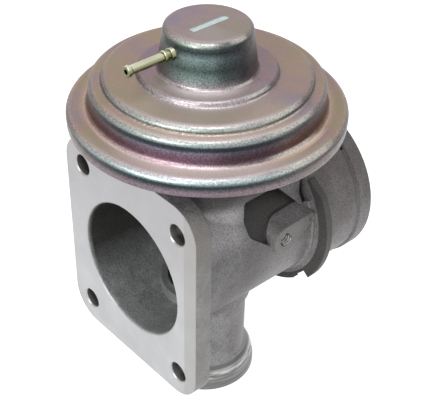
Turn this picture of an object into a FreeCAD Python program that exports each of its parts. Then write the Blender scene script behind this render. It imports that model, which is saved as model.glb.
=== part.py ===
"""Vacuum-operated exhaust gas recirculation valve, lift type, in millimetres.

The origin is the centre of the manifold flange's mounting face.  The flange looks
along -Y, the air duct runs back along +Y, and the valve stem is vertical (Z).
"""
import FreeCAD, Part
import math
import os

from FreeCAD import Rotation, Vector

os.makedirs("parts", exist_ok=True)

# Manifold flange
flange_half_width = 39.1
flange_top = 47.0
flange_bottom = 45.5
flange_thickness = 8.0
flange_corner_radius = 13.0
flange_back_round = 1.2
bolt_pitch_across = 57.0
bolt_pitch_up = 69.0
bolt_hole_radius = 4.25
bolt_chamfer = 0.5

# Air duct and its shell
stem_distance = 39.0
duct_bore_radius = 28.1
duct_mouth_chamfer = 0.6
duct_wall = 3.3
duct_shell_height = 1.2
duct_flange_round = 3.5

# Rear hose socket, with its stop plate, clip lugs and clip slots
socket_front = 68.5
socket_end = 99.4
socket_height = 2.5
socket_bore_radius = 31.8
socket_shoulder = 4.0
socket_wall = 3.3
socket_mouth_chamfer = 0.8
collar_length = 7.0
collar_rise = 0.8
collar_groove_width = 1.5
collar_groove_depth = 0.35
collar_groove_round = 0.5
stop_plate_thickness = 3.0
stop_plate_rise = 4.7
stop_plate_low_angle = -38.0
stop_plate_high_angle = 28.0
plate_tip_rise = 1.7
plate_tip_angle = 41.0
web_rise = 1.3
lug_rise = 2.7
lug_low_angle = -76.0
lug_high_angle = -52.0
bead_rise = 1.8
bead_width = 1.6
clip_slot_front = 65.8
clip_slot_low_angle = 27.0
clip_slot_high_angle = 44.5
clip_slot_wall = 2.1
notch_width = 1.5
notch_low_angle = 48.0
notch_high_angle = 54.0

# Tower that carries the actuator
tower_front_gap = 2.3
tower_length_behind_stem = 40.0
tower_top = 49.0
tower_top_round = 1.5
tower_rear_corner = 6.0
tower_seam_round = 2.0
tower_pit_radius = 11.0
tower_pit_depth = 8.0
guide_boss_radius = 9.5
guide_boss_depth = 24.0

# Pocket cored out of each side of the tower and the duct shell
pocket_front_offset = 2.9
pocket_top = 29.4
pocket_top_length = 16.7
pocket_bead_gap = 0.3
pocket_back_rise = 1.0
pocket_slope_height = 9.9
pocket_slope_length = 12.4
pocket_below_hole = 3.1
pocket_corner = 4.5
pocket_small_corner = 1.5
pocket_depth_at_tower = 14.0
pocket_wall = 1.7

# Bracket boss on the right-hand side
boss_rise = 1.3
boss_behind_stem = 13.5
boss_hole_height = 7.6
boss_radius = 6.1
boss_tail_length = 13.7
boss_tail_rise = 4.0
boss_tail_radius = 2.5
boss_edge_round = 0.5
boss_root_depth = 10.7
boss_draft_angle = 22.0
bracket_thread_radius = 2.5
bracket_thread_depth = 4.5
bracket_thread_chamfer = 0.7
boss_dimple_radius = 1.5
boss_dimple_depth = 0.7

# Exhaust neck with its clamp rim
neck_end = -72.6
neck_radius = 17.1
neck_draft = 0.4
neck_seam_round = 3.0
neck_bore_radius = 13.4
rim_radius = 21.45
rim_band = 3.6
rim_flare_height = 8.4
rim_flare_radius = 20.5
rim_cone_height = 12.9
rim_cone_round = 1.5
rim_edge_chamfer = 0.7

# Valve seat
seat_boss_radius = 19.0
seat_boss_height = 4.8
seat_proud = 0.8
seat_ring_height = 8.0
seat_ring_radius = 16.0
seat_opening_radius = 12.0
seat_cone_width = 1.5

# Valve disc and stem
stem_radius = 3.5
disc_radius = 14.0
disc_edge_height = 1.6
disc_hub_radius = 5.5
disc_height = 6.2
disc_below_seat = 1.7
seat_gap = 0.2
spigot_radius = 2.5
rivet_radius = 3.8
rivet_height = 1.5
guide_clearance = 0.04

# Stem guide, seal, retainer and soot shield
guide_radius = 6.0
guide_projection = 4.0
guide_collar_radius = 8.0
guide_collar_height = 2.0
seal_radius = 7.0
seal_height = 2.6
seal_clearance = 0.06
retainer_wall = 0.7
retainer_flange_radius = 10.6
retainer_hole_radius = 4.4
shield_wall = 0.8
shield_radius = 12.0
shield_drop = 5.0
shield_corner = 2.0

# Actuator shells
shell_wall = 1.3
gasket_thickness = 1.0
gasket_radius = 23.0
pan_hole_radius = 11.5
pan_flange_width = 8.8
pan_slope_width = 8.5
pan_corner = 3.0
pan_depth = 6.1
clamp_radius = 51.3
diaphragm_bead_height = 3.6
diaphragm_bead_width = 4.7
diaphragm_bead_corner = 1.4
cover_clearance = 0.4
cover_rim_round = 2.6
crimp_taper = 0.2
crimp_round = 1.5
crimp_lip = 4.6
cover_rim_width = 8.2
cover_wall_draft = 0.65
cover_wall_height = 9.7
cover_ledge_width = 4.95
cover_disc_step = 2.7
cover_ring_step = 2.0
cover_ring_width = 7.2
dome_foot_radius = 18.7
dome_draft = 2.4
dome_height = 17.3
cover_foot_round = 2.2
cover_shoulder_round = 2.1
cover_ledge_round = 0.7
cover_step_round = 1.4
dome_foot_round = 1.3
dome_top_round = 2.2
mark_width = 2.9
mark_length = 17.0
mark_depth = 0.25
mark_offset = 0.6
vent_radius = 2.0
vent_pitch_radius = 38.2
vent_count = 4

# Actuator screws
screw_count = 3
screw_pitch_radius = 17.2
screw_shank_radius = 2.5
screw_thread_gap = 0.05
screw_hole_gap = 0.3
screw_length = 14.0
screw_head_radius = 4.4
screw_head_height = 3.0
screw_head_round = 0.8
screw_hex_flats = 4.0
screw_hex_depth = 1.8
washer_thickness = 0.8
washer_radius = 4.9

# Diaphragm and its plates
diaphragm_thickness = 1.0
diaphragm_rise = 2.6
diaphragm_hole_gap = 0.4
convolution_gap = 0.7
convolution_width = 6.6
convolution_height = 5.2
convolution_round = 2.6
plate_wall = 1.2
plate_gap = 1.7
plate_step = 2.5
plate_bead_gap = 1.2
plate_bead_width = 3.8
plate_bead_height = 2.0
plate_bead_slope = 0.6
plate_bead_round = 0.8
stem_washer_radius = 6.0
stem_washer_thickness = 1.2

# Return spring and its upper cup
spring_wire_radius = 1.2
spring_coils = 6
spring_end_gap = 0.3
spring_cup_wall = 1.0
spring_cup_gap = 1.0
spring_cup_hub_gap = 1.3
spring_cup_hub_drop = 3.6
spring_cup_round = 0.9

# Vacuum nipple
nipple_drop = 6.4
nipple_length = 18.5
nipple_radius = 1.7
nipple_bore_radius = 1.0
nipple_bead_radius = 2.1
nipple_bead_length = 1.4
nipple_bead_taper = 0.6
nipple_inner_offset = 1.1
nipple_collar_radius = 2.3
nipple_collar_length = 1.2
nipple_collar_offset = 1.3
nipple_foot_radius = 2.9
nipple_foot_offset = 0.4

# Distances within which two points count as one, and a point counts as lying on a skin
point_tolerance = 1e-6
seam_tolerance = 1e-4

# Smallest rounding on the inner side of a bent sheet
least_sheet_round = 0.2

# Places along the duct that follow from the sizes above
tower_half_width = stem_distance - flange_thickness - duct_flange_round - tower_front_gap
tower_rear = stem_distance + tower_length_behind_stem
stop_plate_back = socket_front + stop_plate_thickness
socket_seat = socket_front + socket_shoulder
boss_hole_along = stem_distance + boss_behind_stem
boss_tail_along = boss_hole_along + boss_tail_length
pocket_front = stem_distance - pocket_front_offset
pocket_back_at_top = pocket_front + pocket_top_length
pocket_back_at_boss = socket_front - pocket_bead_gap
pocket_slope_foot = pocket_front + pocket_slope_length

# Radii about the duct that follow from the sizes above
duct_shell_radius = duct_bore_radius + duct_wall
pocket_floor_radius = duct_bore_radius + pocket_wall
clip_slot_floor_radius = duct_bore_radius + clip_slot_wall
bead_radius = duct_shell_radius + bead_rise
boss_face = duct_shell_radius + boss_rise
boss_root = boss_face - boss_root_depth
socket_outer_radius = socket_bore_radius + socket_wall
stop_plate_radius = socket_outer_radius + stop_plate_rise
plate_tip_radius = socket_outer_radius + plate_tip_rise
web_radius = socket_outer_radius + web_rise
lug_radius = socket_outer_radius + lug_rise

# Radii about the stem that follow from the sizes above
cover_radius = clamp_radius + cover_clearance + shell_wall
crimp_bottom_radius = cover_radius - crimp_taper
crimp_inner_radius = cover_radius - crimp_lip
cover_wall_foot_radius = cover_radius - cover_rim_width
cover_wall_top_radius = cover_wall_foot_radius - cover_wall_draft
cover_disc_radius = cover_wall_top_radius - cover_ledge_width
cover_ring_radius = dome_foot_radius + cover_ring_width
dome_top_radius = dome_foot_radius - dome_draft
spring_cup_radius = dome_top_radius - shell_wall - spring_cup_gap
spring_radius = spring_cup_radius - spring_wire_radius
spring_cup_hub_radius = spring_radius - spring_wire_radius - spring_cup_hub_gap
plate_bead_inner = spring_radius + spring_wire_radius + plate_bead_gap
plate_bead_outer = plate_bead_inner + plate_bead_width
pan_wall_radius = clamp_radius - pan_flange_width
pan_floor_radius = pan_wall_radius - pan_slope_width
bead_inner_radius = clamp_radius - diaphragm_bead_width
convolution_outer_radius = cover_wall_foot_radius - shell_wall - convolution_gap
convolution_inner_radius = convolution_outer_radius - convolution_width
upper_plate_radius = convolution_inner_radius - plate_gap
lower_plate_radius = upper_plate_radius - plate_step
nipple_tip_reach = dome_foot_radius + nipple_length
nipple_inner_reach = dome_top_radius - nipple_inner_offset
nipple_collar_reach = dome_foot_radius + nipple_collar_offset
nipple_foot_reach = dome_foot_radius - nipple_foot_offset

# Heights that follow from the sizes above
stem_base = Vector(0, stem_distance, 0)
boss_tail_height = boss_hole_height + boss_tail_rise
pocket_bottom = boss_hole_height - pocket_below_hole
pocket_slope_top = pocket_bottom + pocket_slope_height
pocket_back_height = boss_tail_height + pocket_back_rise
seat_boss_top = seat_boss_height - duct_bore_radius
seat_top = seat_boss_top + seat_proud
seat_bottom = seat_top - seat_ring_height
disc_bottom = seat_top - disc_below_seat
disc_hub_top = disc_bottom + disc_height
tower_pit_floor = tower_top - tower_pit_depth
guide_boss_bottom = tower_pit_floor - guide_boss_depth
guide_bottom = guide_boss_bottom - guide_projection
pan_bottom = tower_top + gasket_thickness
pan_floor = pan_bottom + shell_wall
clamp_bottom = pan_bottom + pan_depth
clamp_top = clamp_bottom + shell_wall
crimp_bottom = clamp_bottom - shell_wall
cover_rim_top = clamp_top + diaphragm_bead_height + shell_wall
cover_ledge_top = cover_rim_top + cover_wall_height
cover_disc_top = cover_ledge_top + cover_disc_step
cover_ring_top = cover_disc_top + cover_ring_step
dome_top = cover_ring_top + dome_height
nipple_height = dome_top - nipple_drop
diaphragm_plane = clamp_top + diaphragm_rise
lower_plate_bottom = diaphragm_plane - diaphragm_thickness - plate_wall
upper_plate_top = diaphragm_plane + plate_wall
stem_washer_top = upper_plate_top + stem_washer_thickness
spring_top = dome_top - shell_wall - spring_cup_wall


def direction(angle):
    """Unit vector in the plane of a profile, at an angle in degrees."""
    return Vector(math.cos(math.radians(angle)), math.sin(math.radians(angle)), 0)


def corner_cut(before, corner, after, radius):
    """Start, middle and end of the arc that rounds one corner of an outline."""
    back = (before - corner).normalize()
    ahead = (after - corner).normalize()
    half = back.getAngle(ahead) / 2
    reach = radius / math.tan(half)
    bisector = (back + ahead).normalize()
    centre = corner + bisector * (radius / math.sin(half))
    return corner + back * reach, centre - bisector * radius, corner + ahead * reach


def outline(points, place):
    """Closed wire through (a, b) or (a, b, corner radius) points, set out by place(a, b)."""
    flat = [Vector(point[0], point[1], 0) for point in points]
    radii = [point[2] if len(point) > 2 else 0 for point in points]
    corners = []
    for index, radius in enumerate(radii):
        corner = flat[index]
        if radius:
            corners.append(corner_cut(flat[index - 1], corner, flat[(index + 1) % len(flat)], radius))
        else:
            corners.append((corner, None, corner))
    edges = []
    for index, (start, middle, end) in enumerate(corners):
        if middle:
            edges.append(Part.Arc(place(start), place(middle), place(end)).toShape())
        following = corners[(index + 1) % len(corners)][0]
        if end.distanceToPoint(following) > point_tolerance:
            edges.append(Part.LineSegment(place(end), place(following)).toShape())
    return Part.Wire(edges)


def on_stem(point):
    """A profile point (radius, height) in the plane through the stem axis."""
    return Vector(point.x, stem_distance, point.y)


def on_side(point):
    """A profile point (along the duct, height) in the plane x = 0."""
    return Vector(0, point.x, point.y)


def turned(points):
    """Solid of revolution about the stem axis from (radius, height) points."""
    face = Part.Face(outline(points, on_stem))
    return face.revolve(stem_base, Vector(0, 0, 1), 360)


def turned_on_duct(points, height=0.0):
    """Solid of revolution about a line along Y from (along, radius) points."""
    def place(point):
        return Vector(point.y, point.x, height)
    face = Part.Face(outline(points, place))
    return face.revolve(Vector(0, 0, height), Vector(0, 1, 0), 360)


def post(radius, bottom, top, x=0.0, y=stem_distance):
    """Vertical cylinder."""
    return Part.makeCylinder(radius, top - bottom, Vector(x, y, bottom))


def rod_along_duct(radius, front, back, height=0.0):
    """Cylinder along Y."""
    return Part.makeCylinder(radius, back - front, Vector(0, front, height), Vector(0, 1, 0))


def sector_on_socket(radius, front, back, low_angle, high_angle):
    """Slice of a disc about the socket's axis; angles are from +X towards +Z."""
    sweep = high_angle - low_angle
    slab = Part.makeCylinder(radius, back - front, Vector(0, 0, 0), Vector(0, 0, 1), sweep)
    slab.rotate(Vector(0, 0, 0), Vector(0, 0, 1), -high_angle)
    slab.rotate(Vector(0, 0, 0), Vector(1, 0, 0), -90)
    slab.translate(Vector(0, front, socket_height))
    return slab


def both_sides(shape):
    """The shape and its mirror image in the plane x = 0."""
    return shape.fuse(shape.mirror(Vector(0, 0, 0), Vector(1, 0, 0)))


def sheet(path, wall, side):
    """Closed (radius, height, corner radius) profile of a sheet along an open path.

    The path is one face of the sheet.  side is 1 or -1: the other face lies on the left
    or on the right of the path.
    """
    points = [Vector(point[0], point[1], 0) for point in path]
    radii = [point[2] if len(point) > 2 else 0 for point in path]
    runs = [(points[i + 1] - points[i]).normalize() for i in range(len(points) - 1)]
    other = []
    for index, point in enumerate(points):
        before = runs[max(index - 1, 0)]
        after = runs[min(index, len(runs) - 1)]
        left_before = Vector(-before.y, before.x, 0) * side
        left_after = Vector(-after.y, after.x, 0) * side
        shift = (left_before + left_after) * (wall / (1 + left_before.dot(left_after)))
        turn = (before.x * after.y - before.y * after.x) * side
        radius = radii[index]
        if radius:
            radius = max(radius - math.copysign(wall, turn), least_sheet_round)
        other.append((point.x + shift.x, point.y + shift.y, radius))
    return list(path) + other[::-1]


def save(shape, name):
    """Write one node and say what it holds."""
    shape = shape.removeSplitter()
    shape.exportStep("parts/" + name + ".step")
    print(name, len(shape.Solids), round(shape.Volume, 1), shape.isValid())
    return shape


def around_stem(shape, count, first_angle):
    """Copies of a shape at equal angles about the stem axis."""
    copies = []
    for index in range(count):
        copy = shape.copy()
        copy.rotate(stem_base, Vector(0, 0, 1), first_angle + index * 360 / count)
        copies.append(copy)
    return copies


def flange_plate():
    """Four-bolt plate, rounded at its back edge."""
    corners = [
        (-flange_half_width, -flange_bottom, flange_corner_radius),
        (flange_half_width, -flange_bottom, flange_corner_radius),
        (flange_half_width, flange_top, flange_corner_radius),
        (-flange_half_width, flange_top, flange_corner_radius),
    ]
    face = Part.Face(outline(corners, lambda point: Vector(point.x, 0, point.y)))
    plate = face.extrude(Vector(0, flange_thickness, 0))
    back_edges = [edge for edge in plate.Edges if edge.BoundBox.YMin > flange_thickness / 2]
    return plate.makeFillet(flange_back_round, back_edges)


def flange_holes():
    """Bolt holes with a chamfer at the mounting face."""
    holes = []
    for across in (-bolt_pitch_across / 2, bolt_pitch_across / 2):
        for up in (-bolt_pitch_up / 2, bolt_pitch_up / 2):
            start = Vector(across, 0, up)
            mouth = bolt_hole_radius + bolt_chamfer
            holes.append(Part.makeCylinder(bolt_hole_radius, flange_thickness, start, Vector(0, 1, 0)))
            holes.append(Part.makeCone(mouth, bolt_hole_radius, bolt_chamfer, start, Vector(0, 1, 0)))
    return holes


def duct_skin():
    """Outer skin of the duct, from its flare at the flange to deep inside the hose socket."""
    root = duct_shell_radius + duct_flange_round
    end = socket_end - collar_length
    return turned_on_duct([
        (0, 0),
        (0, root),
        (flange_thickness, root),
        (flange_thickness + duct_flange_round, duct_shell_radius, duct_flange_round),
        (end, duct_shell_radius),
        (end, 0),
    ], duct_shell_height)


def socket_skin():
    """Outside of the hose socket: bead, body, groove and end collar."""
    groove_front = socket_end - collar_length - collar_groove_width
    groove_back = socket_end - collar_length
    groove_floor = socket_outer_radius - collar_groove_depth
    collar_radius = socket_outer_radius + collar_rise
    return turned_on_duct([
        (socket_front - bead_width, 0),
        (socket_front - bead_width, bead_radius, bead_width / 2),
        (socket_front, bead_radius),
        (socket_front, socket_outer_radius),
        (groove_front, socket_outer_radius, collar_groove_round),
        (groove_front + collar_groove_width / 2, groove_floor, collar_groove_round),
        (groove_back, groove_floor, collar_groove_round / 2),
        (groove_back + collar_groove_depth, collar_radius, collar_groove_round),
        (socket_end, collar_radius, socket_mouth_chamfer),
        (socket_end, 0),
    ], socket_height)


def neck_skin():
    """Outside of the exhaust neck, flared into the clamp rim."""
    return turned([
        (0, 0),
        (neck_radius + neck_draft, 0),
        (neck_radius, neck_end + rim_cone_height, rim_cone_round),
        (rim_flare_radius, neck_end + rim_flare_height, rim_cone_round),
        (rim_radius, neck_end + rim_band),
        (rim_radius, neck_end + rim_edge_chamfer),
        (rim_radius - rim_edge_chamfer, neck_end),
        (0, neck_end),
    ])


def tower_block():
    """Stadium-shaped tower, from the duct's axis up to the actuator deck."""
    front = stem_distance - tower_half_width
    corners = [
        (-tower_half_width, front, tower_half_width),
        (tower_half_width, front, tower_half_width),
        (tower_half_width, tower_rear, tower_rear_corner),
        (-tower_half_width, tower_rear, tower_rear_corner),
    ]
    face = Part.Face(outline(corners, lambda point: Vector(point.x, point.y, 0)))
    block = face.extrude(Vector(0, 0, tower_top))
    top_edges = [edge for edge in block.Edges if edge.BoundBox.ZMin > tower_top / 2]
    return block.makeFillet(tower_top_round, top_edges)


def seam_edges(body, first, second):
    """Edges of a fused body along which the skins of two of its parts meet."""
    found = []
    for edge in body.Edges:
        middle = Part.Vertex(edge.valueAt((edge.FirstParameter + edge.LastParameter) / 2))
        if all(middle.distToShape(part.Shells[0])[0] < seam_tolerance for part in (first, second)):
            found.append(edge)
    return found


def cast_skin():
    """Duct, tower and neck as one casting, rounded where they run into each other."""
    duct = duct_skin()
    tower = tower_block()
    neck = neck_skin()
    body = duct.fuse([tower, neck])
    body = body.makeFillet(neck_seam_round, seam_edges(body, duct, neck))
    return body.makeFillet(tower_seam_round, seam_edges(body, duct, tower))


def boss_wire(x, growth):
    """Teardrop about the thread at one distance from the duct's axis, grown by the draft."""
    hole_radius = boss_radius + growth
    tail_radius = boss_tail_radius + growth
    along = boss_tail_along - boss_hole_along
    rise = boss_tail_height - boss_hole_height
    span = math.hypot(along, rise)
    heading = math.degrees(math.atan2(rise, along))
    spread = math.degrees(math.acos((boss_radius - boss_tail_radius) / span))
    hole = Vector(boss_hole_along, boss_hole_height, 0)
    tail = Vector(boss_tail_along, boss_tail_height, 0)
    upper = direction(heading + spread)
    lower = direction(heading - spread)
    ahead = direction(heading)
    edges = [
        Part.Arc(on_side(hole + upper * hole_radius), on_side(hole - ahead * hole_radius),
                 on_side(hole + lower * hole_radius)).toShape(),
        Part.LineSegment(on_side(hole + lower * hole_radius),
                         on_side(tail + lower * tail_radius)).toShape(),
        Part.Arc(on_side(tail + lower * tail_radius), on_side(tail + ahead * tail_radius),
                 on_side(tail + upper * tail_radius)).toShape(),
        Part.LineSegment(on_side(tail + upper * tail_radius),
                         on_side(hole + upper * hole_radius)).toShape(),
    ]
    wire = Part.Wire(edges)
    wire.translate(Vector(x, 0, 0))
    return wire


def boss_solid():
    """Drafted teardrop boss: a round about the thread, drawn out to a small round tail."""
    growth = (boss_face - boss_root) * math.tan(math.radians(boss_draft_angle))
    boss = Part.makeLoft([boss_wire(boss_root, growth), boss_wire(boss_face, 0)], True, True)
    face_edges = [edge for edge in boss.Edges if edge.BoundBox.XMin > boss_face - boss_edge_round]
    return boss.makeFillet(boss_edge_round, face_edges)


def boss_cuts():
    """Threaded hole with its chamfer, and the locating dimple in the tail."""
    inward = Vector(-1, 0, 0)
    mouth = Vector(boss_face, boss_hole_along, boss_hole_height)
    wide = bracket_thread_radius + bracket_thread_chamfer
    dimple = Part.makeSphere(boss_dimple_radius)
    reach = boss_dimple_radius - boss_dimple_depth
    dimple.translate(Vector(boss_face + reach, boss_tail_along, boss_tail_height))
    return [
        Part.makeCylinder(bracket_thread_radius, bracket_thread_depth, mouth, inward),
        Part.makeCone(wide, bracket_thread_radius, bracket_thread_chamfer, mouth, inward),
        dimple,
    ]


def pocket_cut():
    """Space cored out of the right-hand side, down to the thin part of the duct wall."""
    corners = [
        (pocket_front, pocket_top, pocket_small_corner),
        (pocket_front, pocket_slope_top, pocket_corner),
        (pocket_slope_foot, pocket_bottom, pocket_small_corner),
        (boss_hole_along, pocket_bottom),
        (boss_tail_along, boss_tail_height),
        (pocket_back_at_boss, pocket_back_height),
        (pocket_back_at_top, pocket_top, pocket_small_corner),
    ]
    face = Part.Face(outline(corners, on_side))
    face.translate(Vector(pocket_depth_at_tower, 0, 0))
    block = face.extrude(Vector(2 * tower_half_width, 0, 0))
    return block.cut(rod_along_duct(pocket_floor_radius, 0, socket_front))


def stop_plate():
    """Crescent plate that the hose end runs up against, with a tip cut straight at the top."""
    plate = sector_on_socket(stop_plate_radius, socket_front, stop_plate_back,
                             stop_plate_low_angle, stop_plate_high_angle)
    corners = [Vector(0, 0, 0), direction(stop_plate_high_angle) * stop_plate_radius,
               direction(plate_tip_angle) * plate_tip_radius]
    tip = Part.Face(outline([(point.x, point.y) for point in corners],
                            lambda point: Vector(point.x, socket_front, socket_height + point.y)))
    return plate.fuse(tip.extrude(Vector(0, stop_plate_thickness, 0)))


def clip_slot():
    """Slot in front of the stop plate, for the leg of the hose end's clip."""
    slot = sector_on_socket(2 * socket_outer_radius, clip_slot_front, socket_front,
                            clip_slot_low_angle, clip_slot_high_angle)
    return slot.cut(rod_along_duct(clip_slot_floor_radius, clip_slot_front, socket_front))


def collar_notch():
    """Short notch in front of the socket's collar."""
    back = socket_end - collar_length
    notch = sector_on_socket(2 * socket_outer_radius, back - notch_width, back,
                             notch_low_angle, notch_high_angle)
    notch = notch.cut(rod_along_duct(clip_slot_floor_radius, socket_seat, socket_end))
    return notch.cut(post(2 * socket_outer_radius, tower_top, 2 * tower_top))


def valve_body():
    """The casting, with every machined face, bore and hole."""
    body = flange_plate().fuse([cast_skin(), socket_skin()])
    web = sector_on_socket(web_radius, socket_front, stop_plate_back, lug_high_angle, stop_plate_low_angle)
    lug = sector_on_socket(lug_radius, socket_front, stop_plate_back, lug_low_angle, lug_high_angle)
    body = body.fuse([both_sides(stop_plate()), both_sides(web), both_sides(lug)])
    body = body.cut(both_sides(pocket_cut()))
    body = body.fuse(boss_solid())
    hollow = turned_on_duct([
        (0, 0),
        (0, duct_bore_radius + duct_mouth_chamfer),
        (duct_mouth_chamfer, duct_bore_radius),
        (socket_seat, duct_bore_radius),
        (socket_seat, 0),
    ])
    socket_hollow = turned_on_duct([
        (socket_seat, 0),
        (socket_seat, socket_bore_radius),
        (socket_end - socket_mouth_chamfer, socket_bore_radius),
        (socket_end, socket_bore_radius + socket_mouth_chamfer),
        (socket_end, 0),
    ], socket_height)
    body = body.cut([hollow, socket_hollow])
    seat_boss = post(seat_boss_radius, -duct_shell_radius + duct_shell_height, seat_boss_top)
    guide_boss = post(guide_boss_radius, guide_boss_bottom, tower_pit_floor)
    body = body.fuse([seat_boss, guide_boss])
    cuts = [both_sides(clip_slot()), both_sides(collar_notch())]
    cuts.append(post(neck_bore_radius, neck_end, seat_top))
    cuts.append(post(seat_ring_radius, seat_bottom, seat_top))
    cuts.append(post(guide_radius, 0, tower_pit_floor))
    cuts.append(post(tower_pit_radius, tower_pit_floor, tower_top))
    cuts += flange_holes()
    cuts += boss_cuts()
    thread = post(screw_shank_radius + screw_thread_gap, tower_top - screw_length, tower_top,
                  0, stem_distance + screw_pitch_radius)
    cuts += around_stem(thread, screw_count, 0)
    return body.cut(cuts)


def seat_ring():
    """Steel seat pressed into the floor of the duct, with a 45 degree seat cone."""
    cone_bottom = seat_top - seat_cone_width
    return turned([
        (seat_opening_radius, seat_bottom),
        (seat_ring_radius, seat_bottom),
        (seat_ring_radius, seat_top),
        (seat_opening_radius + seat_cone_width, seat_top),
        (seat_opening_radius, cone_bottom),
    ])


def valve_disc():
    """Poppet disc, riveted on the foot of the stem."""
    shrink = seat_gap
    cone_foot_radius = seat_opening_radius - shrink - (seat_top - seat_cone_width - disc_bottom)
    cone_height = disc_radius - cone_foot_radius
    edge_bottom = disc_bottom + cone_height
    return turned([
        (spigot_radius, disc_bottom),
        (cone_foot_radius, disc_bottom),
        (disc_radius, edge_bottom),
        (disc_radius, edge_bottom + disc_edge_height, disc_edge_height / 4),
        (disc_hub_radius, disc_hub_top - disc_edge_height / 4, disc_edge_height / 2),
        (disc_hub_radius - disc_edge_height / 4, disc_hub_top),
        (spigot_radius, disc_hub_top),
    ])


def valve_stem():
    """Stem with a riveted spigot at each end."""
    foot = disc_bottom - rivet_height
    head = stem_washer_top + rivet_height
    return turned([
        (0, foot),
        (rivet_radius, foot, rivet_height / 2),
        (rivet_radius, disc_bottom),
        (spigot_radius, disc_bottom),
        (spigot_radius, disc_hub_top),
        (stem_radius, disc_hub_top),
        (stem_radius, lower_plate_bottom),
        (spigot_radius, lower_plate_bottom),
        (spigot_radius, stem_washer_top),
        (rivet_radius, stem_washer_top),
        (rivet_radius, head, rivet_height / 2),
        (0, head),
    ])


def stem_guide():
    """Collared bronze bush, pressed into the tower from above."""
    bore = stem_radius + guide_clearance
    collar_top = tower_pit_floor + guide_collar_height
    return turned([
        (bore, guide_bottom),
        (guide_radius, guide_bottom),
        (guide_radius, tower_pit_floor),
        (guide_collar_radius, tower_pit_floor),
        (guide_collar_radius, collar_top),
        (bore, collar_top),
    ])


def stem_seal():
    """Seal ring that rides on the stem above the guide."""
    bottom = tower_pit_floor + guide_collar_height
    bore = stem_radius + seal_clearance
    return turned([
        (bore, bottom),
        (seal_radius, bottom),
        (seal_radius, bottom + seal_height),
        (bore, bottom + seal_height),
    ])


def seal_retainer():
    """Pressed cup that holds the seal down on the guide's collar."""
    top = tower_pit_floor + guide_collar_height + seal_height + retainer_wall
    wall_radius = guide_collar_radius + retainer_wall
    path = [
        (retainer_hole_radius, top),
        (wall_radius, top, 1.5 * retainer_wall),
        (wall_radius, tower_pit_floor + retainer_wall, 1.5 * retainer_wall),
        (retainer_flange_radius, tower_pit_floor + retainer_wall),
    ]
    return turned(sheet(path, retainer_wall, -1))


def soot_shield():
    """Pressed skirt under the guide boss that keeps soot off the stem."""
    path = [
        (guide_radius, guide_boss_bottom),
        (shield_radius, guide_boss_bottom, shield_corner),
        (shield_radius, guide_boss_bottom - shield_drop),
    ]
    return turned(sheet(path, shield_wall, -1))


def screw_clearances(bottom, top):
    """Screw holes through the gasket and the pan."""
    hole = post(screw_shank_radius + screw_hole_gap, bottom, top, 0, stem_distance + screw_pitch_radius)
    return around_stem(hole, screw_count, 0)


def actuator_gasket():
    """Heat-insulating gasket between the tower and the actuator."""
    ring = post(gasket_radius, tower_top, pan_bottom)
    holes = [post(pan_hole_radius, tower_top, pan_bottom)]
    holes += screw_clearances(tower_top, pan_bottom)
    return ring.cut(holes)


def lower_shell():
    """Pressed pan of the actuator, with its vent holes."""
    path = [
        (pan_hole_radius, pan_bottom),
        (pan_floor_radius, pan_bottom, pan_corner),
        (pan_wall_radius, clamp_bottom, pan_corner),
        (clamp_radius, clamp_bottom),
    ]
    pan = turned(sheet(path, shell_wall, 1))
    vent = post(vent_radius, pan_bottom - shell_wall, clamp_top, 0, stem_distance + vent_pitch_radius)
    holes = around_stem(vent, vent_count, 180 / vent_count)
    holes += screw_clearances(pan_bottom, pan_floor)
    return pan.cut(holes)


def upper_shell():
    """Stepped and domed cover, crimped round the rim of the pan."""
    path = [
        (0, dome_top),
        (dome_top_radius, dome_top, dome_top_round),
        (dome_foot_radius, cover_ring_top, dome_foot_round),
        (cover_ring_radius, cover_ring_top, cover_step_round),
        (cover_ring_radius + cover_ledge_round, cover_disc_top, cover_ledge_round),
        (cover_disc_radius, cover_disc_top, cover_shoulder_round),
        (cover_disc_radius + cover_ledge_round / 2, cover_ledge_top, cover_ledge_round),
        (cover_wall_top_radius, cover_ledge_top, cover_shoulder_round),
        (cover_wall_foot_radius, cover_rim_top, cover_foot_round),
        (cover_radius, cover_rim_top, cover_rim_round),
        (crimp_bottom_radius, crimp_bottom, crimp_round),
        (crimp_inner_radius, crimp_bottom),
    ]
    cover = turned(sheet(path, shell_wall, -1))
    mark = Part.makeBox(mark_width, mark_length, mark_depth)
    mark.translate(Vector(mark_offset - mark_width / 2, stem_distance - mark_length / 2, dome_top - mark_depth))
    port = Part.makeCylinder(nipple_radius, dome_foot_radius, Vector(0, stem_distance, nipple_height),
                             Vector(0, -1, 0))
    return cover.cut([mark, port])


def dome_envelope():
    """Everything inside the outer face of the dome's wall."""
    return Part.makeCone(dome_foot_radius, dome_top_radius, dome_top - cover_ring_top,
                         Vector(0, stem_distance, cover_ring_top), Vector(0, 0, 1))


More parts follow.
